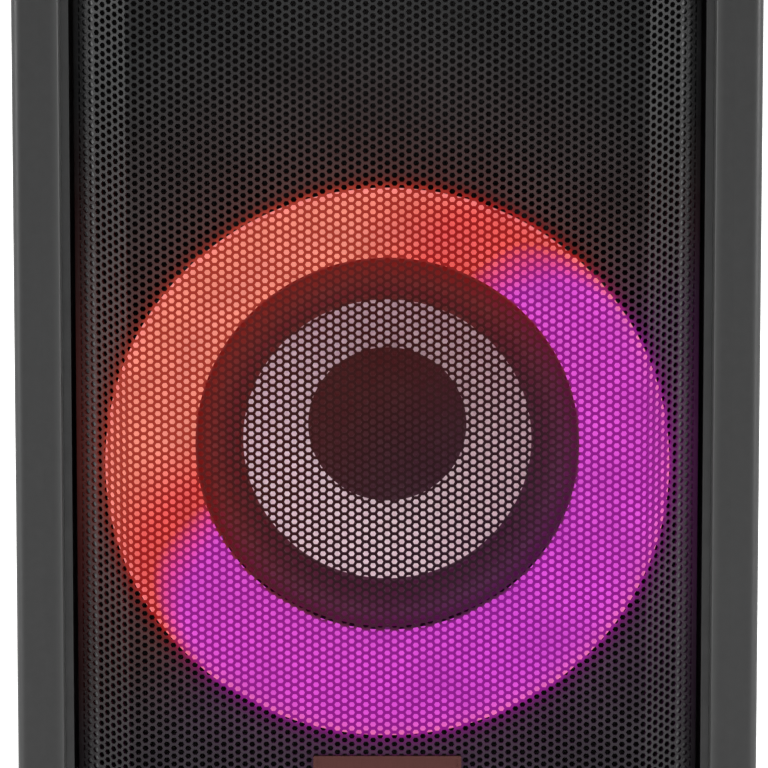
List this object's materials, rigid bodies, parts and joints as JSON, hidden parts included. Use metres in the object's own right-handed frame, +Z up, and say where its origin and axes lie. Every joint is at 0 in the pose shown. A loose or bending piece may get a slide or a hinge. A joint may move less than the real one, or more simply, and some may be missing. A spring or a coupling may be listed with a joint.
{
  "type": "party speaker",
  "caption": "Upright portable party speaker: perforated faceted grille, lit ring round one woofer, tweeters above, top control panel and carry handle, rear sockets behind a hinged door.",
  "frame": {"origin": "centre of the footprint, at the underside of the rubber feet", "axes": "+Z up, front grille faces -Y, +X to the right seen from the front"},
  "size_m": [0.29, 0.29, 0.57],
  "materials": {
    "cabinet_plastic": "satin",
    "column_plastic": "satin",
    "trim_plastic": "matte",
    "baffle_board": "matte",
    "grille_steel": "satin",
    "badge_metal": "satin",
    "basket_metal": "satin",
    "magnet_ferrite": "matte",
    "plate_steel": "satin",
    "cone_paper": "matte",
    "surround_rubber": "matte",
    "black_rubber": "matte",
    "spider_cloth": "matte",
    "coil_copper": "satin",
    "ring_diffuser": "gloss",
    "led_white": "gloss",
    "circuit_green": "satin",
    "heatsink_aluminium": "satin",
    "button_plastic": "satin",
    "panel_plastic": "gloss",
    "socket_metal": "gloss",
    "battery_wrap": "satin",
    "screw_steel": "satin",
    "wire_sleeve": "satin",
    "dome_silk": "matte"
  },
  "bodies": {
    "cabinet": {"cabinet_shell": "cabinet_plastic", "rear_panel": "cabinet_plastic", "front_baffle": "baffle_board", "right_column": "column_plastic", "left_column": "column_plastic", "top_cap": "cabinet_plastic", "handle_bar": "black_rubber", "base_tray": "cabinet_plastic", "rubber_feet": "black_rubber", "pole_socket": "trim_plastic", "front_grille": "grille_steel", "grille_frame": "trim_plastic", "badge": "badge_metal", "woofer_basket": "basket_metal", "woofer_gasket": "black_rubber", "woofer_surround": "surround_rubber", "woofer_spider": "spider_cloth", "woofer_top_plate": "plate_steel", "woofer_magnet": "magnet_ferrite", "woofer_yoke": "plate_steel", "woofer_screws": "screw_steel", "ring_light_diffuser": "ring_diffuser", "ring_light_housing": "trim_plastic", "ring_light_board": "circuit_green", "ring_light_leds": "led_white", "tweeter_frames": "trim_plastic", "tweeter_magnets": "magnet_ferrite", "control_panel": "panel_plastic", "control_board": "circuit_green", "io_panel": "trim_plastic", "io_board": "circuit_green", "audio_jacks": "socket_metal", "aux_jack": "socket_metal", "usb_port": "socket_metal", "port_tube": "trim_plastic", "battery_pack": "battery_wrap", "battery_door": "trim_plastic", "mains_inlet": "trim_plastic", "amplifier_board": "circuit_green", "amplifier_heatsink": "heatsink_aluminium", "power_supply": "circuit_green", "speaker_leads": "wire_sleeve", "board_leads": "wire_sleeve", "case_screws": "screw_steel"},
    "woofer_moving": {"woofer_cone": "cone_paper", "woofer_dust_cap": "cone_paper", "woofer_voice_coil": "coil_copper"},
    "tweeter_left": {"tweeter_left_dome": "dome_silk"},
    "tweeter_right": {"tweeter_right_dome": "dome_silk"},
    "mic_level": {"mic_knob": "button_plastic"},
    "guitar_level": {"guitar_knob": "button_plastic"},
    "socket_door": {"io_door": "trim_plastic"},
    "mains_cover": {"inlet_cover": "black_rubber"},
    "power": {"power_button": "button_plastic"},
    "pair": {"pair_button": "button_plastic"},
    "bass": {"bass_button": "button_plastic"},
    "light": {"light_button": "button_plastic"},
    "minus": {"minus_button": "button_plastic"},
    "play": {"play_button": "button_plastic"},
    "plus": {"plus_button": "button_plastic"}
  },
  "joints": [
    {"name": "woofer_stroke", "type": "slide", "parent": "cabinet", "child": "woofer_moving", "axis": [0, 1, 0], "range_m": [-0.005, 0.005], "stiffness_N_per_m": 1200, "deforming": ["woofer_surround", "woofer_spider"]},
    {"name": "tweeter_left_stroke", "type": "slide", "parent": "cabinet", "child": "tweeter_left", "axis": [0, 1, 0], "range_m": [-0.0005, 0.0005], "stiffness_N_per_m": 400},
    {"name": "tweeter_right_stroke", "type": "slide", "parent": "cabinet", "child": "tweeter_right", "axis": [0, 1, 0], "range_m": [-0.0005, 0.0005], "stiffness_N_per_m": 400},
    {"name": "power_press", "type": "slide", "parent": "cabinet", "child": "power", "axis": [0, 0, -1], "range_m": [0, 0.001], "stiffness_N_per_m": 800},
    {"name": "pair_press", "type": "slide", "parent": "cabinet", "child": "pair", "axis": [0, 0, -1], "range_m": [0, 0.001], "stiffness_N_per_m": 800},
    {"name": "bass_press", "type": "slide", "parent": "cabinet", "child": "bass", "axis": [0, 0, -1], "range_m": [0, 0.001], "stiffness_N_per_m": 800},
    {"name": "light_press", "type": "slide", "parent": "cabinet", "child": "light", "axis": [0, 0, -1], "range_m": [0, 0.001], "stiffness_N_per_m": 800},
    {"name": "minus_press", "type": "slide", "parent": "cabinet", "child": "minus", "axis": [0, 0, -1], "range_m": [0, 0.001], "stiffness_N_per_m": 800},
    {"name": "play_press", "type": "slide", "parent": "cabinet", "child": "play", "axis": [0, 0, -1], "range_m": [0, 0.001], "stiffness_N_per_m": 800},
    {"name": "plus_press", "type": "slide", "parent": "cabinet", "child": "plus", "axis": [0, 0, -1], "range_m": [0, 0.001], "stiffness_N_per_m": 800},
    {"name": "mic_turn", "type": "hinge", "parent": "cabinet", "child": "mic_level", "pos_m": [0.056, 0.116, 0.451], "axis": [0, 1, 0], "range_deg": [-150, 150]},
    {"name": "guitar_turn", "type": "hinge", "parent": "cabinet", "child": "guitar_level", "pos_m": [0.018, 0.116, 0.451], "axis": [0, 1, 0], "range_deg": [-150, 150]},
    {"name": "door_swing", "type": "hinge", "parent": "cabinet", "child": "socket_door", "pos_m": [0, 0.142, 0.3786], "axis": [-1, 0, 0], "range_deg": [0, 100]},
    {"name": "cover_swing", "type": "hinge", "parent": "cabinet", "child": "mains_cover", "pos_m": [0.088, 0.1414, 0.069], "axis": [-1, 0, 0], "range_deg": [0, 100]}
  ]
}
